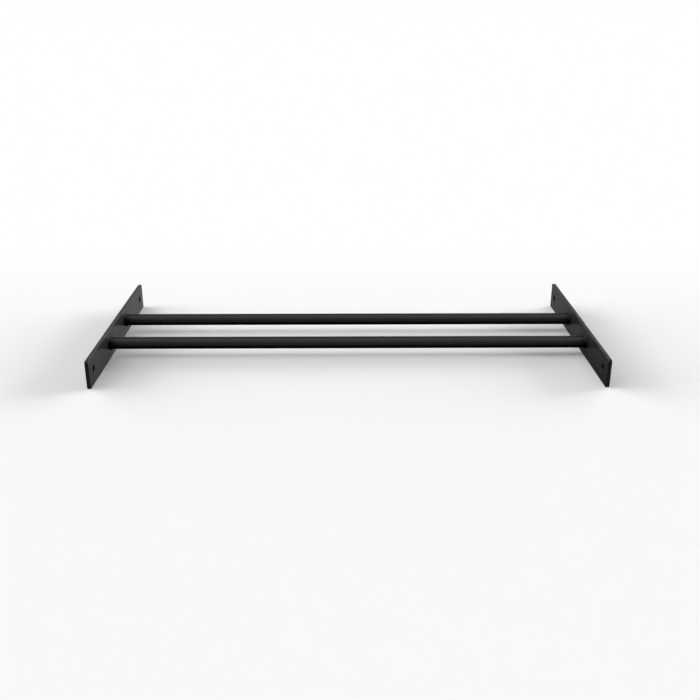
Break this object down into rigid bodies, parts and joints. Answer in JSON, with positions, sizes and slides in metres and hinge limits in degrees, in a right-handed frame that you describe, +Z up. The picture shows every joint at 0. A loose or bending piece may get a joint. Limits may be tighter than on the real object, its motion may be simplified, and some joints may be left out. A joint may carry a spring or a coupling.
{
  "type": "kip bar",
  "caption": "Rigid rig crossmember: parallel round steel grip bars welded between flat bolt-on end plates, for pull-ups, kipping and hanging work.",
  "frame": {"origin": "on the floor under the centre of the part, standing on the long edges of its two end plates", "axes": "+X along the bars towards the right end plate, +Y from the front bar to the rear bar, +Z up, across the width of the end plates"},
  "size_m": [1.4, 0.68, 0.08],
  "materials": {
    "black_powder_coat": "matt fine-texture polyester powder coat"
  },
  "bodies": {
    "root": {"left_end_plate": "black_powder_coat", "right_end_plate": "black_powder_coat", "front_bar": "black_powder_coat", "rear_bar": "black_powder_coat", "front_left_weld": "black_powder_coat", "front_right_weld": "black_powder_coat", "rear_left_weld": "black_powder_coat", "rear_right_weld": "black_powder_coat"}
  },
  "joints": []
}
